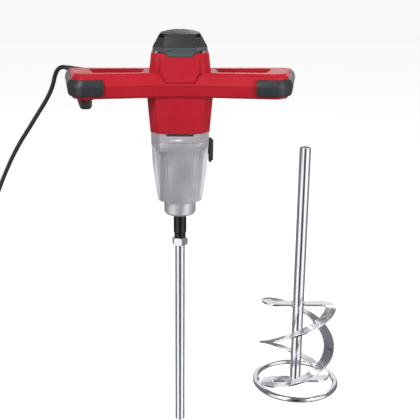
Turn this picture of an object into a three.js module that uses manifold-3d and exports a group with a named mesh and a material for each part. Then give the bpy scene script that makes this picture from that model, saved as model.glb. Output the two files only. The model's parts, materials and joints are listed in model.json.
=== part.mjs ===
// Hand-held electric paint mixer with a two-handed frame, and its mixing paddle standing beside it.
// Millimetres, +Z up. The origin is the centre of the drive rod's lower end face, and the front is -Y.
import * as THREE from 'three';
import { mergeVertices } from 'three/addons/utils/BufferGeometryUtils.js';
import Module from 'manifold-3d';

const wasm = await Module();
wasm.setup();

// ---- driving dimensions ----
const GAP = 0.35;                 // clearance left between pieces that touch
const WALL = 3.5;                 // thickness of the moulded walls
const ROUND = 24;                 // sides of a round piece that shows
const HIDDEN = 16;                // sides of one inside a housing

const ROD_R = 8;
const SHANK_R = 6;                // threaded top of the rod, inside the spindle
const NUT_R = 13.2;               // across the corners, halved
const NUT_Z = 322.4;
const NUT_TOP = 334.8;
const SPINDLE_Z = 335.2;
const SPINDLE_R = 10.5;
const SPINDLE_TOP = 467;
const NECK_Z = 376;
const NECK_R = 25.5;
const BARREL_Z = 397;
const WING_Z = 399.5;
const EAR_Z = 484.5;              // underside of the ears, next to the barrel
const SCREW_SEAT = 488.5;         // face that the gearbox screws pull on
const SEAM_Z = 499.5;             // gearbox housing below, bearing flange above
const FLANGE_TOP = 513.5;
const HOUSING_TOP = 634.5;
const CAP_Z = 643;
const CAP_TOP = 666.5;
const MOTOR_BORE = 41.5;

const FRAME_Z = 570;              // underside, parting line and top of the handle frame
const PARTING_Z = 588;
const FRAME_TOP = 606.5;          // along the front; the top falls towards the rear
const FRAME_TOP_REAR = 600;
const CHANNEL_TOP = 596;
const PAD_THICK = 4.3;
const PAD_INNER_X = 112;
const BOSS_Z = 565.5;             // underside of the boss that guides the trigger

const AXLE_GAP = 20;              // distance between the main axis and the countershaft
const FINE = 0.8;                 // gear modules of the first and second stage
const COARSE = 1;
const PINION_TEETH = 8;
const WHEEL_TEETH = 42;
const OUTPUT_TEETH = 32;
const SHAFT_R = 4;

const TRIGGER_AT = [-148.3, -8];  // middle of the trigger, which is turned to run along the grip
const TRIGGER_TURN = 10.3;
const KNOB_Z = 480;
const KNOB_X = 45.3;
const KNOB_R = 19.75;

const PADDLE_AT = [219, 127, 0];
const PADDLE_TUBE_R = 10;
const SOCKET_R = 8.2;
const PADDLE_TOP = 457;
const RING_R = 75;
const RING_ROD_R = 5;
const FLIGHT_R = 60;
const FLIGHT_WIDTH = 19;
const FLIGHT_THICK = 4;
const FLIGHT_HIGH = 162;
const FLIGHT_LOW = 7;
const FALL_FROM = 0.12;           // share of a flight's length that lies flat at each end

const CORD_R = 3.75;
const COIL_AT = [-500, 136, 0];
const COIL_R = 45;
const COIL_HALF_WIDTH = 15;
const COIL_HEIGHT = 30.5;
const PLUG_R = 18.5;

// ---- materials ----
function material(color, roughness, metalness) {
  return new THREE.MeshStandardMaterial({ color, roughness, metalness });
}
const red = material(0xc62634, 0.42, 0);
const darkPlastic = material(0x3c3e40, 0.5, 0);
const greyPlastic = material(0x58646a, 0.45, 0);
const rubber = material(0x2b3034, 0.6, 0);
const castMetal = material(0xbdb9c0, 0.42, 0.8);
const blackSteel = material(0x101012, 0.25, 0.7);
const plated = material(0xc8cad0, 0.16, 1);
const steel = material(0x9a9ca0, 0.32, 1);
const copper = material(0xb06a3a, 0.35, 1);
const carbon = material(0x202022, 0.7, 0);
const cordSkin = material(0x151516, 0.55, 0);

// ---- solids ----
function outwards(positions, index) {
  const kept = [];
  let volume = 0;
  const [a, b, c] = [new THREE.Vector3(), new THREE.Vector3(), new THREE.Vector3()];
  for (let i = 0; i < index.length; i += 3) {
    const [p, q, r] = [index[i], index[i + 1], index[i + 2]];
    if (p === q || q === r || r === p) continue;
    kept.push(p, q, r);
    a.fromArray(positions, p * 3);
    b.fromArray(positions, q * 3);
    c.fromArray(positions, r * 3);
    volume += a.dot(b.cross(c));
  }
  return new Uint32Array(volume < 0 ? kept.reverse() : kept);
}

function solidOf(geometry) {
  geometry.deleteAttribute('normal');
  geometry.deleteAttribute('uv');
  const merged = mergeVertices(geometry, 1e-4);
  const vertProperties = new Float32Array(merged.attributes.position.array);
  const triVerts = outwards(vertProperties, merged.index.array);
  return new wasm.Manifold(new wasm.Mesh({ numProp: 3, vertProperties, triVerts }));
}

function geometryOf(solid) {
  const mesh = solid.getMesh();
  const geometry = new THREE.BufferGeometry();
  geometry.setAttribute('position', new THREE.BufferAttribute(mesh.vertProperties, 3));
  geometry.setIndex(new THREE.BufferAttribute(mesh.triVerts, 1));
  geometry.computeVertexNormals();
  return geometry;
}

const joined = (first, ...rest) => rest.reduce((sum, next) => sum.add(next), first);
const cut = (first, ...rest) => rest.reduce((left, next) => left.subtract(next), first);

function block(x0, x1, y0, y1, z0, z1) {
  const box = new THREE.BoxGeometry(x1 - x0, y1 - y0, z1 - z0);
  return solidOf(box.translate((x0 + x1) / 2, (y0 + y1) / 2, (z0 + z1) / 2));
}

function post(radius, z0, z1, x = 0, y = 0, sides = ROUND, topRadius = radius) {
  const cylinder = new THREE.CylinderGeometry(topRadius, radius, z1 - z0, sides);
  return solidOf(cylinder.rotateX(Math.PI / 2).translate(x, y, (z0 + z1) / 2));
}

function bar(radius, x0, x1, y, z, sides = ROUND) {
  const cylinder = new THREE.CylinderGeometry(radius, radius, x1 - x0, sides);
  return solidOf(cylinder.rotateZ(Math.PI / 2).translate((x0 + x1) / 2, y, z));
}

function turned(profile, sides = ROUND) {
  const points = profile.map(([r, z]) => new THREE.Vector2(r, z));
  return solidOf(new THREE.LatheGeometry(points, sides).rotateX(Math.PI / 2));
}

function collar(inner, outer, z0, z1, sides = ROUND) {
  return turned([[inner, z0], [outer, z0], [outer, z1], [inner, z1], [inner, z0]], sides);
}

// A closed skin through rings that all have the same number of points, with flat ends.
function skin(rings) {
  const count = rings[0].length;
  const positions = rings.flat(2);
  const index = [];
  for (let k = 0; k + 1 < rings.length; k += 1) {
    for (let i = 0; i < count; i += 1) {
      const next = (i + 1) % count;
      const [a, b] = [k * count + i, k * count + next];
      index.push(a, b, b + count, a, b + count, a + count);
    }
  }
  return { count, positions, index };
}

function closed({ count, positions, index }, endFaces) {
  const last = positions.length / 3 - count;
  for (const [a, b, c] of endFaces) index.push(a, c, b, last + a, last + b, last + c);
  const geometry = new THREE.BufferGeometry();
  geometry.setAttribute('position', new THREE.BufferAttribute(new Float32Array(positions), 3));
  geometry.setIndex(index);
  return solidOf(geometry);
}

// Flat outlines stacked at their heights.
function loft(sections) {
  const outline = sections[0].outline.map(([x, y]) => new THREE.Vector2(x, y));
  const rings = sections.map(({ z, outline: points }) => points.map(([x, y]) => [x, y, z]));
  return closed(skin(rings), THREE.ShapeUtils.triangulateShape(outline, []));
}

function prism(outline, z0, z1) {
  return loft([{ z: z0, outline }, { z: z1, outline }]);
}

// Moves every side of an outline outwards by the same distance.
function grown(outline, distance) {
  const count = outline.length;
  return outline.map(([x, y], i) => {
    const [px, py] = outline[(i + count - 1) % count];
    const [nx, ny] = outline[(i + 1) % count];
    const before = new THREE.Vector2(y - py, px - x).normalize();
    const after = new THREE.Vector2(ny - y, x - nx).normalize();
    const out = before.clone().add(after).normalize();
    const reach = distance / Math.max(out.dot(before), 0.4);
    return [x + out.x * reach, y + out.y * reach];
  });
}

// Rounds each corner [x, y, radius] of an outline that runs anticlockwise.
function rounded(corners, steps = 4) {
  const points = [];
  corners.forEach(([x, y, radius], i) => {
    if (!radius) {
      points.push([x, y]);
      return;
    }
    const corner = new THREE.Vector2(x, y);
    const [px, py] = corners[(i + corners.length - 1) % corners.length];
    const [nx, ny] = corners[(i + 1) % corners.length];
    const back = new THREE.Vector2(px, py).sub(corner).normalize();
    const ahead = new THREE.Vector2(nx, ny).sub(corner).normalize();
    const reach = radius / Math.tan(Math.acos(back.dot(ahead)) / 2);
    const from = corner.clone().addScaledVector(back, reach);
    const to = corner.clone().addScaledVector(ahead, reach);
    const curve = new THREE.QuadraticBezierCurve(from, corner, to);
    for (const point of curve.getPoints(steps)) points.push([point.x, point.y]);
  });
  return points;
}

const mirrored = (outline) => outline.map(([x, y]) => [-x, y]).reverse();

// ---- the model ----
const mixer = new THREE.Group();

function place(name, solid, finish, group = mixer) {
  const mesh = new THREE.Mesh(geometryOf(solid), finish);
  mesh.name = name;
  group.add(mesh);
  return mesh;
}

// Ten-sided section of the housings: a shallow ridge at the front, flat sides and cut corners.
function section(z, half, depth, cornerX, sideY) {
  const ridge = depth - 1.6;
  return {
    z,
    outline: [
      [-half, -sideY], [-cornerX, -ridge], [0, -depth], [cornerX, -ridge], [half, -sideY],
      [half, sideY], [cornerX, ridge], [0, depth], [-cornerX, ridge], [-half, sideY],
    ],
  };
}
const wider = (sections, by) => sections.map(({ z, outline }) => ({ z, outline: grown(outline, by) }));

const HOUSING_SECTIONS = [
  section(FLANGE_TOP + GAP, 45.6, 46, 32.6, 25),
  section(542, 48, 49, 35, 26),
  section(FRAME_Z, 50.2, 51, 37.2, 27),
  section(602, 47, 51, 37, 32),
  section(628, 44, 50.6, 36, 34),
  section(HOUSING_TOP, 43.2, 49.3, 35, 33.5),
];
const GEARBOX_TOP = (z) => section(z, 44.6 - (SEAM_Z - z) * 0.03, 44.5, 31, 25);
const FLANGE_SECTIONS = [
  section(SEAM_Z + GAP / 2, 44.6, 44.5, 31, 25),
  section(FLANGE_TOP, 44.9, 45, 31.5, 25),
];
const GEARBOX_SCREWS = [[33.5, -31], [-33.5, -31], [33.5, 31], [-33.5, 31]];
const CAP_SCREWS = [[35, -37.5], [-35, -37.5], [35, 37.5], [-35, 37.5]];

// The front panel of the motor housing leans back, and its tongue laps over the handle frame.
const PANEL_LEAN = 10.5;
function frontPanel(by) {
  const outline = [[-21.4, 0], [21.4, 0], [28.3, 15.5], [28.3, 37], [-28.3, 37], [-28.3, 15.5]];
  const plate = prism(grown(outline, by), -by, 13 + by).rotate([90, 0, 0]);
  return plate.translate([0, 13, 0]).rotate([-PANEL_LEAN, 0, 0]).translate([0, -57.8, 593.2]);
}

// The tongue of the cap ring, in the notch at the front of the collar.
function frontTongue(by) {
  const outline = grown([[-17.5, 629.8], [17.5, 629.8], [23.5, 636.4], [-23.5, 636.4]], by);
  return prism(outline, 40 - by, 50.2 + by * 8).rotate([90, 0, 0]);
}

function makeMotorHousing() {
  const outside = joined(loft(HOUSING_SECTIONS), frontPanel(0));
  const bore = joined(post(MOTOR_BORE, 500, 619), post(39, 618, 645));
  let web = collar(11.3, 41, 621, 630);
  for (let i = 0; i < 6; i += 1) {
    const turn = (i + 0.5) * Math.PI / 3;
    web = cut(web, post(7.5, 610, 640, 26 * Math.cos(turn), 26 * Math.sin(turn), 8));
  }
  const notch = frontTongue(GAP);
  const screwHoles = [
    ...CAP_SCREWS.map(([x, y]) => post(2.3, 617, 645, x, y, 8)),
    ...GEARBOX_SCREWS.map(([x, y]) => post(2.5, 500, 523.5, x, y, 8)),
  ];
  place('motor_housing', cut(joined(cut(outside, bore), web), notch, ...screwHoles), red);
}

function makeCap() {
  const skirt = [
    section(HOUSING_TOP + GAP, 41, 42, 24, 24),
    section(CAP_Z - GAP, 41.3, 42, 24, 24),
  ];
  const inside = wider([section(600, 41, 42, 24, 24), section(700, 41, 42, 24, 24)], -WALL);
  place('cap_ring', cut(joined(loft(skirt), frontTongue(0)), loft(inside)), greyPlastic);

  const dome = [
    section(CAP_Z, 40.8, 42, 25, 24),
    section(649.6, 37, 38.8, 24, 21.5),
    section(655.6, 33.9, 35.8, 23, 20),
    section(661.6, 30, 32.2, 22, 17),
    section(664.8, 20, 21.6, 12, 12),
    section(CAP_TOP, 9, 9.6, 5, 5),
  ];
  const hollow = [
    section(CAP_Z - 1, 37.4, 38.6, 23, 22),
    section(649.6, 33.8, 35.4, 22, 19.6),
    section(655.2, 30.6, 32.4, 21, 18),
    section(661, 22, 23.6, 14, 12.5),
  ];
  let cap = cut(loft(dome), loft(hollow));
  for (const side of [-1, 1]) {
    for (const end of [-1, 1]) {
      const slot = block(-7, 7, -5, 5, -2.4, 2.4).rotate([0, 0, side * end * -52]);
      cap = cut(cap, slot.translate([side * 26.5, end * 25, 659]));
    }
    for (const x of [6, 12]) cap = cut(cap, block(side * x - 1.3, side * x + 1.3, -9, 9, 655, 670));
  }
  place('motor_cap', cap, darkPlastic);
  CAP_SCREWS.forEach(([x, y], i) => {
    const head = HOUSING_TOP + GAP;
    const thread = post(1.95, head - 13, head + 0.4, 0, 0, 8);
    const screw = joined(thread, post(3.1, head, head + 2.5, 0, 0, 12));
    place(`cap_screw_${i + 1}`, screw, steel).position.set(x, y, 0);
  });
}

// ---- handle frame ----
const HALF_FRAME = [
  [34, -57, 0], [147, -76, 14], [163, -60, 8], [182.5, 60, 12], [175, 80, 12], [34, 80, 0],
];
const FRAME_OUTLINE = [...rounded(HALF_FRAME), ...mirrored(rounded(HALF_FRAME))];
const LOOP = rounded([[57, -38, 9], [129, -49, 10], [147, 50, 10], [57, 51, 9]]);
const LOOPS = [LOOP, mirrored(LOOP)];

function loopCuts(by) {
  return LOOPS.map((outline) => prism(grown(outline, by), FRAME_Z - 20, FRAME_TOP + 20));
}

const HANDLE_SCREWS = [[166, 62], [-166, 62]];

function handleShell(stack, channelStack) {
  const channel = cut(
    loft(channelStack),
    ...loopCuts(WALL),
    loft(wider(HOUSING_SECTIONS, GAP + WALL)),
    ...HANDLE_SCREWS.map(([x, y]) => post(6, FRAME_Z - 5, FRAME_TOP + 5, x, y, 14)),
  );
  return cut(
    loft(stack),
    channel,
    ...loopCuts(0),
    loft(wider(HOUSING_SECTIONS, GAP)),
    frontPanel(GAP),
    ...HANDLE_SCREWS.map(([x, y]) => post(2.45, FRAME_Z - 5, 597, x, y, 8)),
    ...HANDLE_SCREWS.map(([x, y]) => post(4.4, FRAME_Z - 5, FRAME_Z + 3, x, y, 12)),
  );
}

function frameLevel(z, by) {
  return { z, outline: grown(FRAME_OUTLINE, by) };
}

// The frame is widest at the parting line and leans in above and below it.
const UPPER_FACES = [[PARTING_Z, 0], [FRAME_TOP - 5, -4], [FRAME_TOP, -8]];
const LOWER_FACES = [[FRAME_Z, -5], [FRAME_Z + 3, -2.6], [PARTING_Z, 0]];

function triggerOutline(halfWidth, halfLength, corner) {
  const turn = TRIGGER_TURN * Math.PI / 180;
  const [x, y] = TRIGGER_AT;
  return rounded([
    [-halfWidth, -halfLength, corner], [halfWidth, -halfLength, corner],
    [halfWidth, halfLength, corner], [-halfWidth, halfLength, corner],
  ], 3).map(([u, v]) => [
    x + u * Math.cos(turn) - v * Math.sin(turn),
    y + u * Math.sin(turn) + v * Math.cos(turn),
  ]);
}

function makeHandle() {
  const upper = handleShell(
    UPPER_FACES.map(([z, by], i) => frameLevel(i ? z : z + GAP / 2, by)),
    [frameLevel(PARTING_Z - 1, -WALL), frameLevel(CHANNEL_TOP, -WALL - 2.5)],
  );
  const fall = Math.atan2(FRAME_TOP - FRAME_TOP_REAR, 130) * 180 / Math.PI;
  const above = block(-300, 300, -60, 300, 0, 60).rotate([-fall, 0, 0]).translate([0, -50, FRAME_TOP]);
  place('handle_shell_upper', cut(upper, above), red);

  const lower = handleShell(
    LOWER_FACES.map(([z, by], i) => frameLevel(i < 2 ? z : z - GAP / 2, by)),
    [frameLevel(FRAME_Z + WALL, -WALL - 3), frameLevel(PARTING_Z + 1, -WALL)],
  );
  const bossOutline = triggerOutline(12.8, 43, 6);
  const boss = loft([
    { z: BOSS_Z, outline: grown(bossOutline, -1.5) },
    { z: FRAME_Z + 3, outline: bossOutline },
  ]);
  const slot = prism(grown(triggerOutline(9.6, 39, 5), GAP), 540, 580);
  const buttonHole = bar(6 + GAP, -152, -130, 8, 580, 16);
  place('handle_shell_lower', cut(joined(lower, cut(boss, ...loopCuts(0))), slot, buttonHole), red);

  HANDLE_SCREWS.forEach(([x, y], i) => {
    const screw = joined(post(2.1, 572, 596, 0, 0, 8), post(4, FRAME_Z + 0.4, FRAME_Z + 2.7, 0, 0, 12));
    place(`handle_screw_${i + 1}`, screw, steel).position.set(x, y, 0);
  });
}

function makeBumpers() {
  const outer = loft([
    frameLevel(574.2, 0.4), frameLevel(577.5, 2.6), frameLevel(PARTING_Z, PAD_THICK),
    frameLevel(595, 2.2), frameLevel(598.5, -0.4),
  ]);
  const frame = [...LOWER_FACES, ...UPPER_FACES.slice(1)].map(([z, by]) => frameLevel(z, by + GAP));
  const wrap = cut(outer, loft(frame));
  for (const [name, side] of [['bumper_right', 1], ['bumper_left', -1]]) {
    const frontEnd = rounded([[PAD_INNER_X, 574, 6], [250, 574, 0], [250, 600, 0], [PAD_INNER_X, 600, 6]]);
    const reach = joined(prism(frontEnd, -40, 120).rotate([90, 0, 0]), block(176, 250, 39, 120, 560, 610));
    place(name, wrap.intersect(side > 0 ? reach : reach.mirror([1, 0, 0])), rubber);
  }
}

function makeControls() {
  place('trigger', loft([
    { z: 551, outline: triggerOutline(5.6, 35.5, 4) },
    { z: 552.4, outline: triggerOutline(7.8, 37.2, 5) },
    { z: 556, outline: triggerOutline(9.6, 39, 5) },
    { z: 567.4, outline: triggerOutline(9.6, 39, 5) },
  ]), rubber);
  place('lock_button', bar(6, -147.4, -135.9, 8, 580, 16), darkPlastic);
  place('switch_body', block(-160, -145.5, -34, 0, 575.5, 586), darkPlastic);
  place('control_module', block(149, 161.5, -22, 28, 575.5, 586), darkPlastic);
}

// ---- gearbox ----
function makeGearboxHousing() {
  const barrel = loft([
    section(BARREL_Z, 24.6, 27, 17, 16),
    section(445, 25.4, 34.5, 18, 22),
    section(EAR_Z + 3, 26.4, 43.5, 20, 30),
  ]);
  const wing = loft([
    section(WING_Z, 34.6, 15, 30, 12),
    section(420, 38, 19, 32, 15),
    section(441, 41, 22, 34, 17),
    section(462, 43, 24.5, 36, 18),
    section(EAR_Z + 9, 44.2, 27, 37, 19),
  ]);
  // The underside of each ear rises from the barrel towards the side.
  const rise = [[25.5, EAR_Z - 5], [60, EAR_Z - 5], [60, 492.6], [43.6, 492.6], [32, 486.2], [25.5, EAR_Z]];
  const under = prism(rise, -60, 60).rotate([90, 0, 0]);
  const ears = cut(loft([
    section(EAR_Z, 44, 43, 30.5, 24),
    GEARBOX_TOP(SEAM_Z - 6),
    GEARBOX_TOP(SEAM_Z - GAP / 2),
  ]), under, under.mirror([1, 0, 0]));
  // Two stepped ribs run down each side of the barrel.
  const steps = [[20, 28, 20.5, 32], [26, 31.2, 18, 28.5]];
  const ribs = [-1, 1].flatMap((side) => steps.map(([near, far, low, high]) => {
    const level = (z, y) => {
      const outline = [[near, -y], [far, -y], [far, y], [near, y]];
      return { z, outline: side > 0 ? outline : mirrored(outline) };
    };
    return loft([level(WING_Z, low), level(EAR_Z + 1, high)]);
  }));
  const neck = turned([[0, NECK_Z], [23, NECK_Z], [NECK_R, NECK_Z + 3], [NECK_R, 402], [0, 402]]);
  const inside = joined(
    post(20.2, NECK_Z - 1, 395),
    post(15.25, 394, 442.6),
    post(10.2, 442, 450),
    post(23, 449, SEAM_Z + 1),
    post(8.35, 443.4, 450, 0, AXLE_GAP, HIDDEN),
    post(9.5, 449, 472, 0, AXLE_GAP, HIDDEN),
    post(19, 470, SEAM_Z + 1, 0, AXLE_GAP),
    block(0, 38.5, -7, 7, 459, EAR_Z + 3),
  );
  const holes = [
    bar(6 + GAP, 36, 50, 0, KNOB_Z, 18),
    ...GEARBOX_SCREWS.map(([x, y]) => post(2.5, 460, SEAM_Z + 1, x, y, 8)),
    ...GEARBOX_SCREWS.map(([x, y]) => post(4.1, 440, SCREW_SEAT, x, y, 12)),
  ];
  place('gearbox_housing', cut(joined(barrel, wing, ears, neck, ...ribs), inside, ...holes), castMetal);
}

function makeFlange() {
  const mouth = (low, high, z0, z1) => [[-low, z0], [low, z0], [high, z1], [-high, z1]];
  const outlet = joined(
    prism(mouth(20, 23.4, FLANGE_TOP - 4, FLANGE_TOP + 1), 36, 50),
    prism(mouth(19, 21.6, FLANGE_TOP - 8.6, FLANGE_TOP - 3.9), 44, 50),
  ).rotate([90, 0, 0]);
  const solid = cut(
    loft(FLANGE_SECTIONS),
    outlet,
    post(5.5, 490, 520),
    post(11.25, 504.5, 520),
    post(8.35, 490, 503.5, 0, AXLE_GAP, HIDDEN),
    ...GEARBOX_SCREWS.map(([x, y]) => post(2.5, 490, 520, x, y, 8)),
  );
  place('bearing_flange', solid, castMetal);
  let grille = block(-19, 19, -41, -38.5, FLANGE_TOP - 3.6, FLANGE_TOP - 0.1);
  for (let x = -15; x <= 15; x += 6) {
    grille = cut(grille, block(x - 1.8, x + 1.8, -42, -37, FLANGE_TOP - 2.8, FLANGE_TOP - 0.9));
  }
  place('air_outlet_grille', grille, greyPlastic);
  GEARBOX_SCREWS.forEach(([x, y], i) => {
    const thread = post(2.1, SCREW_SEAT - 1, 521.5, 0, 0, 8);
    const screw = joined(thread, post(3.6, SCREW_SEAT - 4, SCREW_SEAT - GAP, 0, 0, 12));
    place(`gearbox_screw_${i + 1}`, screw, steel).position.set(x, y, 0);
  });
}

function gear(module, teeth, z0, z1, bore, phase) {
  const pitch = module * teeth / 2;
  const step = 2 * Math.PI / teeth;
  const flank = [[-0.3, pitch - 1.2 * module], [-0.12, pitch + 0.85 * module],
    [0.12, pitch + 0.85 * module], [0.3, pitch - 1.2 * module]];
  const outline = [];
  for (let i = 0; i < teeth; i += 1) {
    for (const [part, radius] of flank) {
      const turn = (i + phase + part) * step;
      outline.push([radius * Math.cos(turn), radius * Math.sin(turn)]);
    }
  }
  const wheel = prism(outline, z0, z1);
  return bore ? cut(wheel, post(bore, z0 - 1, z1 + 1)) : wheel;
}

function makeGears() {
  // The countershaft is behind the main axis, so the teeth meet at +Y of the main axis.
  const toCounter = Math.PI / 2;
  const phaseOf = (teeth, direction, offset) => direction / (2 * Math.PI / teeth) + offset;
  const counter = new THREE.Group();
  counter.position.y = AXLE_GAP;
  mixer.add(counter);

  const shaft = turned([[0, 480.5], [2.2, 480.5], [2.2, 498.5], [SHAFT_R, 499.5],
    [SHAFT_R, 631.5], [0, 631.5]], HIDDEN);
  const pinion = gear(FINE, PINION_TEETH, 481, 498.5, 0, phaseOf(PINION_TEETH, toCounter, 0));
  place('armature_shaft', joined(shaft, pinion), steel);

  const wheelPhase = phaseOf(WHEEL_TEETH, -toCounter, 0.5);
  const wheel = gear(FINE, WHEEL_TEETH, 483.5, 495.5, SHAFT_R + GAP, wheelPhase);
  place('countershaft_gear', wheel, steel, counter);
  const drive = gear(COARSE, PINION_TEETH, 449.5, 468, 0, phaseOf(PINION_TEETH, -toCounter, 0));
  const axle = turned([[0, 443.8], [SHAFT_R, 443.8], [SHAFT_R, 448.8], [2.7, 449.4], [2.7, 468],
    [SHAFT_R, 469], [SHAFT_R, 502.8], [0, 502.8]], HIDDEN);
  place('countershaft', joined(axle, drive), steel, counter);
  place('countershaft_bearing_lower', collar(SHAFT_R + GAP, 8, 443.8, 448.4, HIDDEN), steel, counter);
  place('countershaft_bearing_upper', collar(SHAFT_R + GAP, 8, 497.5, 502.9, HIDDEN), steel, counter);

  const outputPhase = phaseOf(OUTPUT_TEETH, toCounter, 0.5);
  place('spindle_gear', gear(COARSE, OUTPUT_TEETH, 450, 462, 7 + GAP, outputPhase), steel);
  place('spindle', turned([
    [SHANK_R + GAP, SPINDLE_Z], [9.3, SPINDLE_Z], [9.3, 342], [SPINDLE_R, 343.5], [SPINDLE_R, 396],
    [8.5, 396], [8.5, 446], [7, 446], [7, SPINDLE_TOP], [0, SPINDLE_TOP], [0, 368],
    [SHANK_R + GAP, 368], [SHANK_R + GAP, SPINDLE_Z],
  ]), blackSteel);
  place('spindle_bearing_lower', collar(SPINDLE_R + GAP, 19.9, 382.6, 394.6, HIDDEN), steel);
  place('spindle_bearing_upper', collar(8.5 + GAP, 14.9, 432.4, 442, HIDDEN), steel);
  place('shaft_seal', collar(SPINDLE_R + GAP, 19.9, 376.6, 381.8), rubber);
}

function makeSelector() {
  const disc = bar(KNOB_R, KNOB_X, KNOB_X + 4.6, 0, KNOB_Z, 32);
  const grip = block(KNOB_X + 4, KNOB_X + 7.6, -4, 4, KNOB_Z - 18, KNOB_Z + 18);
  const stem = bar(6, 37.5, KNOB_X + 0.1, 0, KNOB_Z, 18);
  const pin = bar(2, 33, 38, 0, KNOB_Z - 3.5, 12);
  place('gear_knob', joined(disc, grip, stem, pin), darkPlastic);
  const ring = cut(post(13, 464, 466.6), post(7.8, 460, 470), block(-14, 0, -7.8, 7.8, 460, 470));
  const arm = block(12, 36, -3, 3, 464, 466.6);
  const upright = block(34, 36, -3, 3, 464, 470);
  place('shift_fork', joined(ring, arm, upright), steel);
}

// ---- motor ----
function makeMotor() {
  place('stator_core', collar(33.3, MOTOR_BORE - GAP, 541.5, 591.5), steel);
  for (const [name, side] of [['field_coil_right', 1], ['field_coil_left', -1]]) {
    const points = [];
    for (let i = 0; i <= 8; i += 1) points.push([33, (i / 8 - 0.5) * 2.2]);
    for (let i = 8; i >= 0; i -= 1) points.push([27, (i / 8 - 0.5) * 2.2]);
    const outline = points.map(([r, turn]) => [r * Math.cos(turn), r * Math.sin(turn)]);
    place(name, prism(side > 0 ? outline : outline.map(([x, y]) => [-x, -y]), 533.5, 597.5), copper);
  }
  place('armature_core', collar(SHAFT_R + GAP, 25.8, 544.5, 589.5, HIDDEN), steel);
  place('commutator', collar(SHAFT_R + GAP, 13, 601.5, 615.5, HIDDEN), copper);
  const hub = collar(SHAFT_R + GAP, 9, 518.5, 529.5, HIDDEN);
  let fan = joined(collar(SHAFT_R + GAP, 37, 517.5, 519.5, HIDDEN), hub);
  for (let i = 0; i < 9; i += 1) {
    fan = joined(fan, block(8, 36, -0.9, 0.9, 518.5, 528.5).rotate([0, 0, i * 40]));
  }
  place('cooling_fan', fan, darkPlastic);
  place('fan_baffle', collar(24, MOTOR_BORE - GAP, 530.5, 532.5, HIDDEN), darkPlastic);
  place('bearing_middle', collar(SHAFT_R + GAP, 10.9, 504.9, 511.9, HIDDEN), steel);
  place('bearing_top', collar(SHAFT_R + GAP, 10.9, 621.5, 628.5, HIDDEN), steel);
  for (const [name, side] of [['right', 1], ['left', -1]]) {
    const turn = side > 0 ? 0 : 180;
    const sleeve = cut(block(17, 38, -7.5, 7.5, 601, 616), block(16, 40, -4.8, 4.8, 603.7, 613.3));
    place(`brush_holder_${name}`, sleeve.rotate([0, 0, turn]), darkPlastic);
    place(`carbon_brush_${name}`, block(13.4, 30, -4.4, 4.4, 604.1, 612.9).rotate([0, 0, turn]), carbon);
  }
}

// ---- stirrer ----
function makeRod() {
  const rod = turned([[0, 0], [ROD_R, 0], [ROD_R, NUT_TOP], [SHANK_R, NUT_TOP], [SHANK_R, 366], [0, 366]]);
  place('drive_rod', rod, plated);
  const hex = post(NUT_R, NUT_Z, NUT_TOP, 0, 0, 6).rotate([0, 0, 12.7]);
  const corner = NUT_R + 0.2;
  const chamfered = turned([[0, NUT_Z], [11.8, NUT_Z], [corner, NUT_Z + 1.4],
    [corner, NUT_TOP - 1.4], [11.8, NUT_TOP], [0, NUT_TOP]]);
  const nut = hex.intersect(chamfered);
  place('rod_nut', cut(nut, post(ROD_R + GAP, 300, 340)), plated);
}

// The middle line of a flight: out along an arm, one full turn while it falls, and back in.
function flightLine() {
  const bend = 16;
  const reach = Math.sqrt((FLIGHT_R - bend) ** 2 - bend ** 2);
  const lean = Math.atan2(bend, reach);
  const plan = [];
  for (let i = 0; i <= 2; i += 1) plan.push([PADDLE_TUBE_R + GAP + i * 15, 0]);
  for (let i = 0; i <= 6; i += 1) {
    const turn = Math.PI / 2 - (i / 6) * (Math.PI / 2 + lean);
    plan.push([reach + bend * Math.cos(turn), -bend + bend * Math.sin(turn)]);
  }
  const sweep = 2 * Math.PI - 2 * lean;
  const steps = 34;
  for (let i = 1; i < steps; i += 1) {
    const turn = -lean - (i / steps) * sweep;
    plan.push([FLIGHT_R * Math.cos(turn), FLIGHT_R * Math.sin(turn)]);
  }
  for (let i = 6; i >= 0; i -= 1) {
    const turn = Math.PI / 2 - (i / 6) * (Math.PI / 2 + lean);
    plan.push([reach + bend * Math.cos(turn), bend - bend * Math.sin(turn)]);
  }
  for (let i = 2; i >= 0; i -= 1) plan.push([PADDLE_TUBE_R + GAP + i * 15, 0]);
  const run = [0];
  for (let i = 1; i < plan.length; i += 1) {
    run.push(run[i - 1] + Math.hypot(plan[i][0] - plan[i - 1][0], plan[i][1] - plan[i - 1][1]));
  }
  const length = run[run.length - 1];
  return plan.map(([x, y], i) => {
    const share = THREE.MathUtils.clamp((run[i] / length - FALL_FROM) / (1 - 2 * FALL_FROM), 0, 1);
    const fall = 0.6 * share + 0.4 * THREE.MathUtils.smoothstep(share, 0, 1);
    return new THREE.Vector3(x, y, THREE.MathUtils.lerp(FLIGHT_HIGH, FLIGHT_LOW, fall));
  });
}

function flight() {
  const line = flightLine();
  const rings = line.map((point, i) => {
    const along = line[Math.min(i + 1, line.length - 1)].clone().sub(line[Math.max(i - 1, 0)]).normalize();
    const across = new THREE.Vector3(along.y, -along.x, 0).normalize();
    const up = across.clone().cross(along).normalize();
    return [[-1, -1], [1, -1], [1, 1], [-1, 1]].map(([u, v]) => point.clone()
      .addScaledVector(across, u * FLIGHT_WIDTH / 2)
      .addScaledVector(up, v * FLIGHT_THICK / 2).toArray());
  });
  return closed(skin(rings), [[0, 1, 2], [0, 2, 3]]);
}

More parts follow.
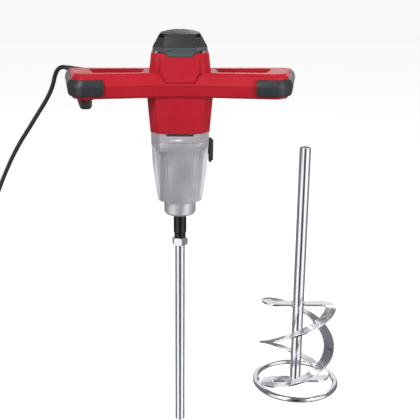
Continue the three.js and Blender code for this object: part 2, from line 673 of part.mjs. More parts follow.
function makePaddle() {
  const paddle = new THREE.Group();
  paddle.position.set(...PADDLE_AT);
  mixer.add(paddle);
  place('paddle_tube', collar(SOCKET_R, PADDLE_TUBE_R, 3, PADDLE_TOP), plated, paddle);
  place('paddle_flight_a', flight(), plated, paddle);
  place('paddle_flight_b', flight(), plated, paddle).rotation.z = Math.PI;
  const ring = [];
  for (let i = 0; i <= 10; i += 1) {
    const turn = (i / 10) * 2 * Math.PI;
    ring.push([RING_R + RING_ROD_R * Math.sin(turn), RING_ROD_R - RING_ROD_R * Math.cos(turn)]);
  }
  place('paddle_ring', turned(ring, 44), plated, paddle);
}

// ---- mains cord ----
const RELIEF_FROM = new THREE.Vector3(-154, 76, 592);
const RELIEF_ALONG = new THREE.Vector3(-0.7, 0.7, 0.08).normalize();
const RELIEF_LENGTH = 50;
const CORD_ROUTE = [
  [-201.6, 123.7, 595.3], [-209.3, 131.8, 589.2], [-214.4, 137.7, 579.6], [-218.3, 142.4, 567.5],
  [-223.8, 146.6, 553.8], [-231.2, 149.8, 540], [-239.9, 152.2, 526], [-249.4, 154.2, 512],
  [-265.3, 157, 488], [-288, 160.5, 454], [-313, 164.5, 408], [-336, 168, 355], [-357, 171, 296],
  [-376, 175, 234], [-392, 180, 172], [-405, 185, 115], [-418, 190, 66], [-434, 194, 30],
  [-455, 197.5, 9.5], [-476, 199.5, 4.2],
];

function circleShape(radius, sides) {
  const points = [];
  for (let i = 0; i < sides; i += 1) {
    const turn = (i / sides) * 2 * Math.PI;
    points.push(new THREE.Vector2(radius * Math.cos(turn), radius * Math.sin(turn)));
  }
  return new THREE.Shape(points);
}

function makeCord() {
  const relief = new THREE.CylinderGeometry(4.6, 7.5, RELIEF_LENGTH, 16);
  const turn = new THREE.Quaternion().setFromUnitVectors(new THREE.Vector3(0, 1, 0), RELIEF_ALONG);
  const middle = RELIEF_FROM.clone().addScaledVector(RELIEF_ALONG, RELIEF_LENGTH / 2);
  relief.applyQuaternion(turn).translate(...middle.toArray());
  place('strain_relief', cut(solidOf(relief), block(-220, -120, 40, 80 + GAP, 560, 630)), rubber);

  const exit = RELIEF_FROM.clone().addScaledVector(RELIEF_ALONG, RELIEF_LENGTH + GAP);
  const [coilX, coilY] = COIL_AT;
  const coilEdge = COIL_R + COIL_HALF_WIDTH + CORD_R + GAP;
  const route = [exit, exit.clone().addScaledVector(RELIEF_ALONG, 5),
    ...CORD_ROUTE.map((point) => new THREE.Vector3(...point)),
    new THREE.Vector3(coilX, coilY + coilEdge, CORD_R + 0.2)];
  const path = new THREE.CatmullRomCurve3(route, false, 'centripetal');
  const options = { steps: 48, extrudePath: path, bevelEnabled: false };
  place('power_cord', solidOf(new THREE.ExtrudeGeometry(circleShape(CORD_R, 8), options)), cordSkin);

  const [low, high] = [COIL_R - COIL_HALF_WIDTH, COIL_R + COIL_HALF_WIDTH];
  const coil = turned([[low, 3], [low + 3, 0], [high - 3, 0], [high, 3], [high, COIL_HEIGHT - 3],
    [high - 3, COIL_HEIGHT], [low + 3, COIL_HEIGHT], [low, COIL_HEIGHT - 3], [low, 3]]);
  place('cord_coil', coil, cordSkin).position.set(...COIL_AT);

  // The cord's free end leaves the coil on its -X side, comes down and goes into the plug along -Y.
  const tailX = coilX - COIL_R - 11;
  const tailPath = new THREE.CatmullRomCurve3([
    new THREE.Vector3(tailX - 1.5, coilY - 34, 26), new THREE.Vector3(tailX - 2.5, coilY - 47, 24),
    new THREE.Vector3(tailX - 4, coilY - 62, 19.5), new THREE.Vector3(tailX - 4, coilY - 70, PLUG_R),
  ]);
  const tail = new THREE.ExtrudeGeometry(circleShape(CORD_R, 8),
    { steps: 6, extrudePath: tailPath, bevelEnabled: false });
  place('cord_tail', solidOf(tail), cordSkin);
  const grip = joined(
    bar(CORD_R + 1, 0, 22, 0, 0, 12),
    bar(12, 21, 43, 0, 0, 16),
    bar(PLUG_R, 42, 58, 0, 0, 20),
  );
  const pins = [-9.5, 9.5].map((y) => bar(2.4, 57, 77, y, 0, 10));
  const plug = place('plug', joined(grip, ...pins).rotate([0, 0, -90]), darkPlastic);
  plug.position.set(tailX - 4, coilY - 71, PLUG_R);
}

makeMotorHousing();
makeCap();
makeHandle();
makeBumpers();
makeControls();
makeGearboxHousing();
makeFlange();
makeGears();
makeSelector();
makeMotor();
makeRod();
makePaddle();
makeCord();

export default mixer;
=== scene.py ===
"""Looks of a hand-held electric paint mixer and its mixing paddle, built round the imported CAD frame.

The camera, the lights and the stage are in metres. Everything on the object is in millimetres, and MM
turns it into Blender's metres.
"""
import json
import math

import bmesh
import bpy
from mathutils import Matrix, Vector

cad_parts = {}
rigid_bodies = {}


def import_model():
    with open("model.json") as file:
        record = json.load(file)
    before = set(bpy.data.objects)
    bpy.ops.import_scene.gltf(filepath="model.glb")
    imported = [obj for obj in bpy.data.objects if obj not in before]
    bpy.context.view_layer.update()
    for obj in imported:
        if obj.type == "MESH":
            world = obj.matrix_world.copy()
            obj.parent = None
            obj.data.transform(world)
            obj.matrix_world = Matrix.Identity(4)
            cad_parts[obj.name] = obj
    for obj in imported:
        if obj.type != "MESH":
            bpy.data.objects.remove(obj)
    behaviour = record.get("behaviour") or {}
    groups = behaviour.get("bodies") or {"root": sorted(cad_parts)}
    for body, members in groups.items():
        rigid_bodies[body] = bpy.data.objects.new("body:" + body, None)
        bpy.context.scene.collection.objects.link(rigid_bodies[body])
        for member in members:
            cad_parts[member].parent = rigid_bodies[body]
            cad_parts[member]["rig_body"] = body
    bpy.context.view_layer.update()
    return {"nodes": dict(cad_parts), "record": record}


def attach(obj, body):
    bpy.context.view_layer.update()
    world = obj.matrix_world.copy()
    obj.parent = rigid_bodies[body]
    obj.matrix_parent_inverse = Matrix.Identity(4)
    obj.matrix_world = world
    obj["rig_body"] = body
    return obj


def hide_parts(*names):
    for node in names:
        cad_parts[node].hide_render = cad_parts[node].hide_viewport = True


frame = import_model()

MM = 0.001
NODES = frame["nodes"]
SLOT_OF = {part["node"]: part["material_slot"] for part in frame["record"]["subparts"]}


# ---------------------------------------------------------------- camera, floor and light
CAMERA_AT = (0, -1.244, 0.7486)
CAMERA_DOWN_DEG = 16.5
CAMERA_LENS = 68.6
CAMERA_SHIFT = 1 / 14  # share of the picture's width
WORLD_LIGHT = 0.24
STAGE_HALF = 8
FLOOR_Z = -0.0003
FLOOR_GLOW = 0.74
BACKDROP_GLOW = 0.944  # as light as the far floor looks, so that no horizon shows
CARD_REACH = 2.2


def make_camera():
    data = bpy.data.cameras.new("camera")
    data.lens = CAMERA_LENS
    data.sensor_width = 36
    data.shift_x = CAMERA_SHIFT
    data.clip_end = 200
    camera = bpy.data.objects.new("camera", data)
    camera.location = CAMERA_AT
    camera.rotation_euler = (math.radians(90 - CAMERA_DOWN_DEG), 0, 0)
    bpy.context.scene.collection.objects.link(camera)
    bpy.context.scene.camera = camera


def area_light(name, place, aim, size, power):
    data = bpy.data.lights.new(name, "AREA")
    data.shape = "RECTANGLE"
    data.size, data.size_y = size
    data.energy = power
    light = bpy.data.objects.new(name, data)
    light.location = place
    light.rotation_euler = (Vector(aim) - Vector(place)).to_track_quat("-Z", "Y").to_euler()
    bpy.context.scene.collection.objects.link(light)


def plain(name, colour, glow=0.0):
    """A matt material for the stage; glow makes it shine by itself."""
    material = bpy.data.materials.new(name)
    material.use_nodes = True
    shader = material.node_tree.nodes["Principled BSDF"]
    shader.inputs["Base Color"].default_value = (colour, colour, colour, 1)
    shader.inputs["Roughness"].default_value = 0.9
    shader.inputs["Specular IOR Level"].default_value = 0.1
    shader.inputs["Emission Color"].default_value = (1, 1, 1, 1)
    shader.inputs["Emission Strength"].default_value = glow
    return material


def stage_piece(name, corners, faces, material, seen_by):
    """A piece of the studio that only the named kinds of ray can see."""
    mesh = bpy.data.meshes.new(name)
    mesh.from_pydata(corners, [], faces)
    mesh.materials.append(material)
    piece = bpy.data.objects.new(name, mesh)
    bpy.context.scene.collection.objects.link(piece)
    piece.visible_camera = "camera" in seen_by
    piece.visible_diffuse = "diffuse" in seen_by
    piece.visible_glossy = "glossy" in seen_by
    piece.visible_shadow = False


def card(name, centre, half_width, z0, z1, material):
    """An upright card that faces the mixer and shows only in its reflections."""
    x, y = centre
    length = math.hypot(x, y)
    u, v = -y / length * half_width, x / length * half_width
    corners = [(x - u, y - v, z0), (x + u, y + v, z0), (x + u, y + v, z1), (x - u, y - v, z1)]
    stage_piece(name, corners, [(0, 1, 2, 3)], material, ("glossy",))


def make_studio():
    """Soft light, a pale floor that meets a backdrop of the same tone, and reflection cards.

    The cards reach below the floor, because upright metal seen from above mirrors what is low down.
    """
    world = bpy.data.worlds.new("studio")
    bpy.context.scene.world = world
    world.use_nodes = True
    world.node_tree.nodes["Background"].inputs["Color"].default_value = (1, 1, 1, 1)
    world.node_tree.nodes["Background"].inputs["Strength"].default_value = WORLD_LIGHT
    bpy.context.scene.view_settings.view_transform = "Standard"
    area_light("key", (-1.1, -1.5, 2.0), (0, 0, 0.5), (1.0, 1.0), 32)
    area_light("fill", (1.8, -1.4, 0.9), (0, 0, 0.45), (0.8, 1.3), 24)
    area_light("rim", (0.6, 1.6, 1.7), (0, 0, 0.5), (1.2, 0.5), 8)

    half = STAGE_HALF
    corners = [(-half, -half), (half, -half), (half, half), (-half, half)]
    ground = [(x, y, FLOOR_Z) for x, y in corners]
    stage_piece("floor", ground, [(0, 1, 2, 3)], plain("floor", 0.85, FLOOR_GLOW), ("camera",))
    walls = [(x, y, z) for z in (0, half) for x, y in corners]
    sides = [(0, 1, 5, 4), (1, 2, 6, 5), (2, 3, 7, 6), (3, 0, 4, 7), (4, 5, 6, 7)]
    stage_piece("backdrop", walls, sides, plain("backdrop", 0.0, BACKDROP_GLOW), ("camera",))

    dark = plain("card_dark", 0.01, 0.02)
    bright = plain("card_bright", 0.3, 1.2)
    card("card_dark_front", (0.05, -2.2), 0.42, -CARD_REACH, CARD_REACH, dark)
    card("card_bright_left", (-1.7, -1.4), 1.1, -CARD_REACH, CARD_REACH, bright)
    card("card_bright_right", (1.8, -1.3), 1.1, -CARD_REACH, CARD_REACH, bright)
    card("card_soft_back", (0.1, 2.4), 1.8, 0.1, 2.6, plain("card_soft", 0.3, 0.85))


# ---------------------------------------------------------------- materials
class Surface:
    """A principled material with helpers for the noise that varies its colour, gloss and relief."""

    def __init__(self, name, roughness, metallic=0.0, specular=0.5):
        self.material = bpy.data.materials.new(name)
        self.material.use_nodes = True
        self.tree = self.material.node_tree
        self.shader = self.tree.nodes["Principled BSDF"]
        self.shader.inputs["Metallic"].default_value = metallic
        self.shader.inputs["Roughness"].default_value = roughness
        self.shader.inputs["Specular IOR Level"].default_value = specular
        self.place = self.tree.nodes.new("ShaderNodeTexCoord").outputs["Object"]
        self.bumps = None

    def noise(self, scale, detail=3.0, stretch=(1, 1, 1)):
        mapping = self.tree.nodes.new("ShaderNodeMapping")
        mapping.inputs["Scale"].default_value = stretch
        self.tree.links.new(self.place, mapping.inputs["Vector"])
        texture = self.tree.nodes.new("ShaderNodeTexNoise")
        texture.inputs["Scale"].default_value = scale
        texture.inputs["Detail"].default_value = detail
        self.tree.links.new(mapping.outputs["Vector"], texture.inputs["Vector"])
        return texture.outputs["Fac"]

    def colours(self, source, dark, light, low=0.3, high=0.7):
        ramp = self.tree.nodes.new("ShaderNodeValToRGB")
        ramp.color_ramp.elements[0].position = low
        ramp.color_ramp.elements[0].color = (*dark, 1)
        ramp.color_ramp.elements[1].position = high
        ramp.color_ramp.elements[1].color = (*light, 1)
        self.tree.links.new(source, ramp.inputs["Fac"])
        self.tree.links.new(ramp.outputs["Color"], self.shader.inputs["Base Color"])

    def gloss(self, source, low, high):
        spread = self.tree.nodes.new("ShaderNodeMapRange")
        spread.inputs["From Min"].default_value = 0.3
        spread.inputs["From Max"].default_value = 0.7
        spread.inputs["To Min"].default_value = low
        spread.inputs["To Max"].default_value = high
        self.tree.links.new(source, spread.inputs["Value"])
        self.tree.links.new(spread.outputs["Result"], self.shader.inputs["Roughness"])

    def relief(self, source, height_mm, strength=1.0):
        bump = self.tree.nodes.new("ShaderNodeBump")
        bump.inputs["Strength"].default_value = strength
        bump.inputs["Distance"].default_value = height_mm * MM
        self.tree.links.new(source, bump.inputs["Height"])
        if self.bumps:
            self.tree.links.new(self.bumps, bump.inputs["Normal"])
        self.bumps = bump.outputs["Normal"]
        self.tree.links.new(self.bumps, self.shader.inputs["Normal"])


def moulded(name, dark, light, gloss, grain_mm=0.02, specular=0.5):
    """Moulded plastic: faint flow marks in its colour, fine spark-eroded grain on its skin."""
    surface = Surface(name, gloss[0], specular=specular)
    surface.colours(surface.noise(14, 4), dark, light)
    surface.gloss(surface.noise(60, 5), *gloss)
    surface.relief(surface.noise(1900, 2), grain_mm)
    surface.relief(surface.noise(25, 2), 0.12, 0.25)
    return surface.material


def cast_metal():
    surface = Surface("gearbox_cast", 0.4, metallic=0.7)
    surface.colours(surface.noise(30, 6), (0.58, 0.56, 0.60), (0.72, 0.70, 0.74))
    surface.gloss(surface.noise(900, 3), 0.36, 0.52)
    surface.relief(surface.noise(1500, 3), 0.05)
    surface.relief(surface.noise(160, 4), 0.05, 0.5)
    return surface.material


def polished(name, dark, light, gloss, stretch=(1, 1, 1), relief_mm=0.006, metallic=1.0):
    """Plated, ground or oiled metal with drawing marks along its length and soft cloudy patches."""
    surface = Surface(name, gloss[0], metallic=metallic)
    surface.colours(surface.noise(45, 5, stretch), dark, light)
    surface.gloss(surface.noise(120, 5, stretch), *gloss)
    surface.relief(surface.noise(1200, 2, stretch), relief_mm)
    return surface.material


def make_materials():
    along = (1, 1, 0.06)
    return {
        "housing_red": moulded("housing_red", (0.56, 0.011, 0.026), (0.64, 0.016, 0.034), (0.36, 0.48), 0.015,
                               specular=0.22),
        "cap_dark": moulded("cap_dark", (0.030, 0.031, 0.032), (0.044, 0.045, 0.046), (0.42, 0.56), 0.04,
                            specular=0.35),
        "trim_grey": moulded("trim_grey", (0.072, 0.094, 0.10), (0.10, 0.125, 0.132), (0.36, 0.48), 0.02),
        "rubber_black": moulded("rubber_black", (0.018, 0.022, 0.026), (0.032, 0.038, 0.043), (0.34, 0.50),
                                0.05),
        "gearbox_cast": cast_metal(),
        "spindle_black": polished("spindle_black", (0.004, 0.004, 0.004), (0.012, 0.012, 0.013), (0.16, 0.28),
                                  relief_mm=0.004, metallic=0.3),
        "plated_steel": polished("plated_steel", (0.60, 0.61, 0.65), (0.80, 0.81, 0.84), (0.10, 0.22), along),
        "steel": polished("steel", (0.30, 0.30, 0.31), (0.44, 0.44, 0.45), (0.26, 0.42)),
        "copper": polished("copper", (0.42, 0.17, 0.07), (0.56, 0.25, 0.11), (0.28, 0.44)),
        "carbon": moulded("carbon", (0.014, 0.014, 0.015), (0.024, 0.024, 0.026), (0.55, 0.72), 0.03),
        "cord_black": moulded("cord_black", (0.010, 0.010, 0.011), (0.018, 0.018, 0.020), (0.42, 0.58), 0.03),
    }


# ---------------------------------------------------------------- building blocks
def new_piece(name, mesh_or_curve, slot, body, *replaced):
    piece = bpy.data.objects.new(name, mesh_or_curve)
    bpy.context.scene.collection.objects.link(piece)
    piece.data.materials.clear()
    piece.data.materials.append(MATERIALS[slot])
    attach(piece, body)
    if replaced:
        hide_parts(*replaced)
    return piece


def finish_mesh(build, smooth_angle=35):
    """Writes a bmesh out as a mesh that is smooth up to the given angle."""
    bmesh.ops.recalc_face_normals(build, faces=build.faces)
    mesh = bpy.data.meshes.new("made")
    build.to_mesh(mesh)
    build.free()
    for polygon in mesh.polygons:
        polygon.use_smooth = True
    mesh.set_sharp_from_angle(angle=math.radians(smooth_angle))
    return mesh


def bevel(piece, width_mm, segments=3, angle=25):
    modifier = piece.modifiers.new("bevel", "BEVEL")
    modifier.width = width_mm * MM
    modifier.segments = segments
    modifier.limit_method = "ANGLE"
    modifier.angle_limit = math.radians(angle)
    modifier.harden_normals = True
    return piece


def refined(node, width_mm, angle=25, segments=3):
    """The node's own shape with clean flat faces and every hard edge rounded."""
    build = bmesh.new()
    build.from_mesh(NODES[node].data)
    bmesh.ops.remove_doubles(build, verts=build.verts, dist=1e-6)
    bmesh.ops.dissolve_limit(build, angle_limit=math.radians(0.4), verts=build.verts, edges=build.edges)
    body = NODES[node]["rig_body"]
    piece = new_piece(node + "_skin", finish_mesh(build, 30), SLOT_OF[node], body, node)
    return bevel(piece, width_mm, segments, angle)


def lathe(profile, sides=96, centre=(0, 0), closed=False):
    """Turns a profile of (radius, height) about the vertical through centre. Radius 0 makes a pole."""
    build = bmesh.new()
    rings = []
    for radius, height in profile:
        if radius == 0:
            rings.append([build.verts.new((centre[0] * MM, centre[1] * MM, height * MM))])
            continue
        ring = []
        for i in range(sides):
            turn = 2 * math.pi * i / sides
            x = centre[0] + radius * math.cos(turn)
            y = centre[1] + radius * math.sin(turn)
            ring.append(build.verts.new((x * MM, y * MM, height * MM)))
        rings.append(ring)
    pairs = list(zip(rings, rings[1:]))
    if closed:
        pairs.append((rings[-1], rings[0]))
    for lower, upper in pairs:
        for i in range(sides):
            j = (i + 1) % sides
            corners = [lower[i % len(lower)], lower[j % len(lower)],
                       upper[j % len(upper)], upper[i % len(upper)]]
            build.faces.new(list(dict.fromkeys(corners)))
    return build


def rounded_profile(points, radius=0.5, steps=3):
    """Rounds the inner corners of an open profile with small arcs."""
    result = [points[0]]
    for before, corner, after in zip(points, points[1:], points[2:]):
        here = Vector(corner)
        back = Vector(before) - here
        ahead = Vector(after) - here
        reach = min(radius, back.length * 0.45, ahead.length * 0.45)
        start = here + back.normalized() * reach
        end = here + ahead.normalized() * reach
        for i in range(steps + 1):
            t = i / steps
            result.append(tuple((1 - t) ** 2 * start + 2 * t * (1 - t) * here + t * t * end))
    result.append(points[-1])
    return result


def sweep(line, section_at, closed_ends=True):
    """A skin through sections [Vector, ...] given by section_at(index, point) along a line."""
    build = bmesh.new()
    rings = [[build.verts.new(v * MM) for v in section_at(i, p)] for i, p in enumerate(line)]
    count = len(rings[0])
    for lower, upper in zip(rings, rings[1:]):
        for i in range(count):
            j = (i + 1) % count
            build.faces.new((lower[i], lower[j], upper[j], upper[i]))
    if closed_ends:
        build.faces.new(list(reversed(rings[0])))
        build.faces.new(rings[-1])
    return build


def place_along(build, origin, direction):
    """Moves a shape made on the +Z axis so that it starts at origin and runs along direction."""
    turn = Vector(direction).to_track_quat("Z", "Y").to_matrix().to_4x4()
    bmesh.ops.transform(build, matrix=Matrix.Translation(Vector(origin) * MM) @ turn, verts=build.verts)
    return build


# ---------------------------------------------------------------- mains cord
CORD_R = 3.75
RELIEF_FROM = Vector((-154, 76, 592))
RELIEF_ALONG = Vector((-0.7, 0.7, 0.08)).normalized()
RELIEF_LENGTH = 50
REAR_FACE_Y = 80.35
CORD_ROUTE = [
    (-201.6, 123.7, 595.3), (-209.3, 131.8, 589.2), (-214.4, 137.7, 579.6), (-218.3, 142.4, 567.5),
    (-223.8, 146.6, 553.8), (-231.2, 149.8, 540), (-239.9, 152.2, 526), (-249.4, 154.2, 512),
    (-265.3, 157, 488), (-288, 160.5, 454), (-313, 164.5, 408), (-336, 168, 355), (-357, 171, 296),
    (-376, 175, 234), (-392, 180, 172), (-405, 185, 115), (-418, 190, 66), (-434, 194, 30),
    (-455, 197.5, 9.5), (-476, 199.5, 4.2),
]
COIL_AT = (-500, 136)
COIL_INNER = 33.6
COIL_OUTER = 56.2
COIL_LOW = CORD_R + 0.2
LAYER_STEP = 7.6
LAYERS = (3, 3, 3, 2.25)
STEPS_A_TURN = 24
COIL_EDGE = 64.1
TAIL = [(-557.5, 102, 26), (-558.5, 89, 24), (-560, 74, 19.5), (-560, 66.4, 18.5)]
PLUG_AT = (-560, 65, 18.5)
TIE_STEPS = 64


def coil_points():
    """Four layers, each wound in or out, the next one lying on the one before."""
    points = []
    wound = 0.0
    for layer, turns in enumerate(LAYERS):
        inwards = layer % 2 == 0
        start, end = (COIL_OUTER, COIL_INNER) if inwards else (COIL_INNER, COIL_OUTER)
        steps = round(turns * STEPS_A_TURN)
        for i in range(steps):
            done = i / STEPS_A_TURN
            hold = 0.3
            share = max(0.0, (done - hold) / (turns - hold))
            radius = start + (end - start) * share
            climb = min(1.0, done / 0.25)
            rise = climb * climb * (3 - 2 * climb)
            height = COIL_LOW + LAYER_STEP * (layer - 1 + rise if layer else 0)
            if layer == 0 and done < hold:
                settle = done / hold
                settle = settle * settle * (3 - 2 * settle)
                radius = COIL_EDGE + (COIL_OUTER - COIL_EDGE) * settle
            turn = math.pi / 2 + 2 * math.pi * (wound + done)
            x = COIL_AT[0] + radius * math.cos(turn)
            y = COIL_AT[1] + radius * math.sin(turn)
            points.append((x, y, height))
        wound += turns
    return points


def smooth_curve(name, points, radius):
    curve = bpy.data.curves.new(name, "CURVE")
    curve.dimensions = "3D"
    curve.bevel_depth = radius * MM
    curve.bevel_resolution = 6
    curve.resolution_u = 6
    curve.use_fill_caps = True
    spline = curve.splines.new("BEZIER")
    spline.bezier_points.add(len(points) - 1)
    for knot, point in zip(spline.bezier_points, points):
        knot.co = Vector(point) * MM
        knot.handle_left_type = knot.handle_right_type = "AUTO"
    return curve


def make_plug():
    """A moulded two-pin plug: ribbed tail, waisted grip, round face and two pins."""
    profile = [(4.0, 0)]
    for i in range(6):
        profile += [(5.4, 0.6 + i * 3.2), (5.4, 2.0 + i * 3.2), (4.6, 2.4 + i * 3.2), (4.6, 3.2 + i * 3.2)]
    profile += [(6.5, 20.5), (10.5, 22), (12, 26), (11.2, 34), (12, 40), (16.5, 43), (18.4, 45.5), (18.4, 56),
                (17.4, 57.6), (0, 57.6)]
    body = lathe([(0, 0)] + rounded_profile(profile, 0.8), 64)
    for side in (-1, 1):
        pin = lathe([(0, 57)] + rounded_profile([(2.35, 57), (2.35, 74.5), (1.4, 76.6), (0, 76.8)], 0.5), 32,
                    (side * 9.5, 0))
        mesh = bpy.data.meshes.new("pin")
        pin.to_mesh(mesh)
        pin.free()
        body.from_mesh(mesh)
    place_along(body, PLUG_AT, (0, -1, 0))
    return new_piece("mains_plug", finish_mesh(body), "cord_black", "machine", "plug")


def make_tie():
    """A soft strap round the coil's bundle, with its free end lapped over."""
    centre = Vector((COIL_AT[0] + 45, COIL_AT[1], 15.3))
    path = []
    for i in range(TIE_STEPS + 1):
        turn = 2 * math.pi * i / TIE_STEPS * 1.08
        lift = 0.9 * i / TIE_STEPS
        squash = 4
        c, s = math.cos(turn), math.sin(turn)
        reach = (abs(c) ** squash + abs(s) ** squash) ** (-1 / squash) * (16.1 + lift)
        path.append(centre + Vector((c * reach, 0, max(s * reach, -15.2))))

    def section(i, point):
        ahead = (path[min(i + 1, TIE_STEPS)] - path[max(i - 1, 0)]).normalized()
        out = ahead.cross(Vector((0, 1, 0)))
        return [point + Vector((0, w, 0)) + out * t for w, t in ((-6, -0.4), (6, -0.4), (6, 0.4), (-6, 0.4))]

    return new_piece("cord_tie", finish_mesh(sweep(path, section)), "rubber_black", "machine")


def make_cord():
    exit_point = RELIEF_FROM + RELIEF_ALONG * (RELIEF_LENGTH + 0.35)
    lead = [tuple(exit_point - RELIEF_ALONG * 4), tuple(exit_point + RELIEF_ALONG * 5)]
    points = lead + CORD_ROUTE + coil_points() + TAIL
    cord = new_piece("mains_cord", smooth_curve("mains_cord", points, CORD_R), "cord_black", "machine",
                     "power_cord", "cord_coil", "cord_tail")
    make_plug()
    make_tie()


def make_relief():
    """A tapered sleeve with grooves, cut off square against the rear of the handle."""
    profile = [(7.4, 6)]
    ribs = 8
    for i in range(ribs):
        z = 10 + i * 4.4
        radius = 7.1 - 0.3 * i
        profile += [(radius, z), (radius, z + 2.7), (radius - 0.9, z + 3.1), (radius - 0.9, z + 4.0)]
    profile += [(4.7, 46), (4.5, RELIEF_LENGTH - 0.4), (3.9, RELIEF_LENGTH)]
    build = lathe([(0, 0), (7.4, 0)] + rounded_profile(profile, 0.4) + [(0, RELIEF_LENGTH)], 64)
    place_along(build, RELIEF_FROM, RELIEF_ALONG)
    faces = build.verts[:] + build.edges[:] + build.faces[:]
    cut = bmesh.ops.bisect_plane(build, geom=faces, plane_co=Vector((0, REAR_FACE_Y, 0)) * MM,
                                 plane_no=(0, 1, 0), clear_inner=True)
    edges = [e for e in cut["geom_cut"] if isinstance(e, bmesh.types.BMEdge)]
    bmesh.ops.contextual_create(build, geom=edges)
    new_piece("strain_relief_sleeve", finish_mesh(build), "rubber_black", "machine", "strain_relief")


# ---------------------------------------------------------------- stirrer
PADDLE_X, PADDLE_Y = 219, 127
FLIGHT_R = 60
FLIGHT_BEND = 16
FLIGHT_STEPS = 110
FALL_FROM = 0.12
ARM_TOP, ARM_LOW = 162, 7
FLIGHT_HALF_WIDTH, FLIGHT_HALF_THICK = 9.5, 2
RING_R, RING_WIRE_R = 75, 5


def make_rod():
    profile = [(7.2, 0), (8, 0.8), (8, 334.8), (6, 334.8), (6, 366), (0, 366)]
    rod = lathe([(0, 0)] + rounded_profile(profile, 0.4))
    new_piece("drive_rod_turned", finish_mesh(rod), "plated_steel", "spindle", "drive_rod")
    refined("rod_nut", 0.35, 15)

    spindle = lathe(rounded_profile([
        (6.35, 368), (6.35, 335.2), (9.3, 335.2), (9.3, 342), (10.5, 343.5), (10.5, 396), (8.5, 396.2),
        (8.5, 446), (7, 446.2), (7, 467), (0, 467),
    ], 0.5))
    new_piece("spindle_turned", finish_mesh(spindle), "spindle_black", "spindle", "spindle")


def flight_plan():
    """Plan of a flight's middle line: out along its arm, a full turn, and back in, in millimetres."""
    reach = math.sqrt((FLIGHT_R - FLIGHT_BEND) ** 2 - FLIGHT_BEND ** 2)
    lean = math.atan2(FLIGHT_BEND, reach)
    arm = [(10.35 + i * 5, 0) for i in range(7)]
    bend = []
    for i in range(15):
        turn = math.pi / 2 - (i / 14) * (math.pi / 2 + lean)
        bend.append((reach + FLIGHT_BEND * math.cos(turn), -FLIGHT_BEND + FLIGHT_BEND * math.sin(turn)))
    sweep_angle = 2 * math.pi - 2 * lean
    turn_points = []
    for i in range(1, FLIGHT_STEPS):
        turn = -lean - (i / FLIGHT_STEPS) * sweep_angle
        turn_points.append((FLIGHT_R * math.cos(turn), FLIGHT_R * math.sin(turn)))
    way_back = [(x, -y) for x, y in reversed(arm + bend)]
    return arm + bend + turn_points + way_back


def flight_line():
    plan = flight_plan()
    run = [0.0]
    for (ax, ay), (bx, by) in zip(plan, plan[1:]):
        run.append(run[-1] + math.hypot(bx - ax, by - ay))
    line = []
    for (x, y), length in zip(plan, run):
        share = (length / run[-1] - FALL_FROM) / (1 - 2 * FALL_FROM)
        share = min(1.0, max(0.0, share))
        fall = 0.6 * share + 0.4 * share * share * (3 - 2 * share)
        line.append(Vector((x, y, ARM_TOP + (ARM_LOW - ARM_TOP) * fall)))
    return line


def make_flight(name, node, half_turn):
    line = flight_line()

    def section(i, point):
        ahead = (line[min(i + 1, len(line) - 1)] - line[max(i - 1, 0)]).normalized()
        across = Vector((ahead.y, -ahead.x, 0)).normalized()
        up = across.cross(ahead).normalized()
        corners = ((-1, -1), (1, -1), (1, 1), (-1, 1))
        return [point + across * u * FLIGHT_HALF_WIDTH + up * v * FLIGHT_HALF_THICK for u, v in corners]

    build = sweep(line, section)
    turn = Matrix.Rotation(math.pi if half_turn else 0, 4, "Z")
    bmesh.ops.transform(build, matrix=Matrix.Translation((PADDLE_X * MM, PADDLE_Y * MM, 0)) @ turn,
                        verts=build.verts)
    piece = new_piece(name, finish_mesh(build, 40), "plated_steel", "paddle", node)
    bevel(piece, 0.9, 3, 40)


def weld_bead(name, start, end, radius):
    """A run of weld: a lumpy bead with overlapping ripples, tapering at both ends."""
    start, end = Vector(start), Vector(end)
    length = (end - start).length
    ripples = max(3, round(length / 2.2))
    steps = ripples * 6
    profile = [(0, 0)]
    for i in range(1, steps):
        t = i / steps
        swell = min(1.0, 5 * t, 5 * (1 - t)) ** 0.5
        saw = (t * ripples) % 1.0
        profile.append((radius * swell * (0.86 + 0.14 * math.sin(math.pi * saw)), length * t))
    profile.append((0, length))
    build = lathe(profile, 20)
    place_along(build, start, end - start)
    new_piece(name, finish_mesh(build, 60), "plated_steel", "paddle")


def make_paddle():
    tube = lathe(rounded_profile([
        (8.2, 300), (8.2, 456.2), (8.8, 457), (9.5, 457), (10, 456.4),
        (10, 3.5), (9.5, 3), (8.2, 3), (8.2, 300),
    ], 0.3)[:-1], 96, (PADDLE_X, PADDLE_Y), closed=True)
    new_piece("paddle_tube_drawn", finish_mesh(tube), "plated_steel", "paddle", "paddle_tube")
    make_flight("flight_a", "paddle_flight_a", False)
    make_flight("flight_b", "paddle_flight_b", True)

    sides = 24
    profile = []
    for i in range(sides):
        turn = 2 * math.pi * i / sides
        profile.append((RING_R + RING_WIRE_R * math.cos(turn), RING_WIRE_R + RING_WIRE_R * math.sin(turn)))
    ring = lathe(profile, 144, (PADDLE_X, PADDLE_Y), closed=True)
    new_piece("paddle_ring_rod", finish_mesh(ring, 60), "plated_steel", "paddle", "paddle_ring")

    count = 0
    for side in (-1, 1):
        for level in (ARM_TOP, ARM_LOW):
            for edge in (-1, 1):
                count += 1
                x = PADDLE_X + side * 10.2
                z = level + edge * 2.2
                start = (x, PADDLE_Y - 7.2, z)
                weld_bead(f"hub_weld_{count}", start, (x, PADDLE_Y + 7.2, z), 1.9)
        x = PADDLE_X + side * 69.8
        name = "ring_weld_right" if side > 0 else "ring_weld_left"
        weld_bead(name, (x, PADDLE_Y - 9, 9), (x, PADDLE_Y + 9, 9), 2.4)


# ---------------------------------------------------------------- machine
KNOB_Z = 480
KNOB_KNURLS = 30


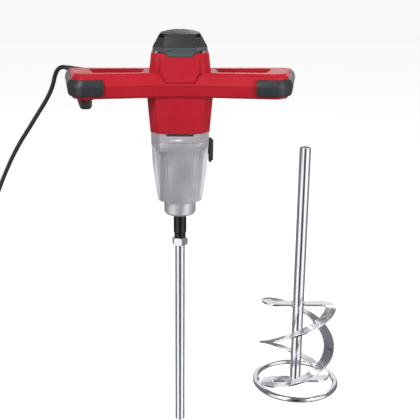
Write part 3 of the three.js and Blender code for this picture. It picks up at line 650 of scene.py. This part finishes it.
def make_knob():
    """The gear knob: a disc with a knurled rim and a grip bar across its face."""
    build = bmesh.new()
    sides = 120
    rings = [(6, 37.5), (6, 45.3), (18.4, 45.3), (19.75, 46.4), (19.75, 49.0), (18.6, 50.0), (16.0, 50.2)]
    made = []
    for radius, x in rings:
        ring = []
        for i in range(sides):
            turn = 2 * math.pi * i / sides
            knurl = 0.45 * (0.5 + 0.5 * math.cos(KNOB_KNURLS * turn)) if radius > 19 else 0
            r = radius - knurl
            y, z = r * math.cos(turn), KNOB_Z + r * math.sin(turn)
            ring.append(build.verts.new((x * MM, y * MM, z * MM)))
        made.append(ring)
    for lower, upper in zip(made, made[1:]):
        for i in range(sides):
            j = (i + 1) % sides
            build.faces.new((lower[i], lower[j], upper[j], upper[i]))
    build.faces.new(list(reversed(made[0])))
    build.faces.new(made[-1])
    new_piece("gear_knob_disc", finish_mesh(build), "cap_dark", "gear_knob", "gear_knob")

    grip = bmesh.new()
    bmesh.ops.create_cube(grip, size=1)
    bmesh.ops.scale(grip, vec=Vector((2.6, 7.6, 35)) * MM, verts=grip.verts)
    for vert in grip.verts:
        if vert.co.x > 0:
            vert.co.y *= 0.62
            vert.co.z *= 0.93
    bmesh.ops.translate(grip, vec=Vector((51.45, 0, KNOB_Z)) * MM, verts=grip.verts)
    bevel(new_piece("gear_knob_grip", finish_mesh(grip, 30), "cap_dark", "gear_knob"), 0.9, 4)


def make_machine():
    refined("motor_housing", 1.3, 12)
    refined("handle_shell_upper", 1.8, 12, segments=4)
    refined("handle_shell_lower", 1.2, 12)
    refined("motor_cap", 1.0, 10)
    refined("cap_ring", 0.9, 15)
    refined("bumper_left", 1.6, 20, segments=4)
    refined("bumper_right", 1.6, 20, segments=4)
    refined("trigger", 1.4, 20, segments=4)
    refined("gearbox_housing", 0.9, 16)
    refined("bearing_flange", 0.8, 16)
    refined("air_outlet_grille", 0.4, 30)
    make_knob()


def dress_hidden_nodes():
    """Gives every CAD node that still shows its slot's material."""
    for name, node in NODES.items():
        node.data.materials.clear()
        node.data.materials.append(MATERIALS[SLOT_OF[name]])


make_camera()
MATERIALS = make_materials()
make_cord()
make_relief()
make_studio()
dress_hidden_nodes()
make_rod()
make_paddle()
make_machine()
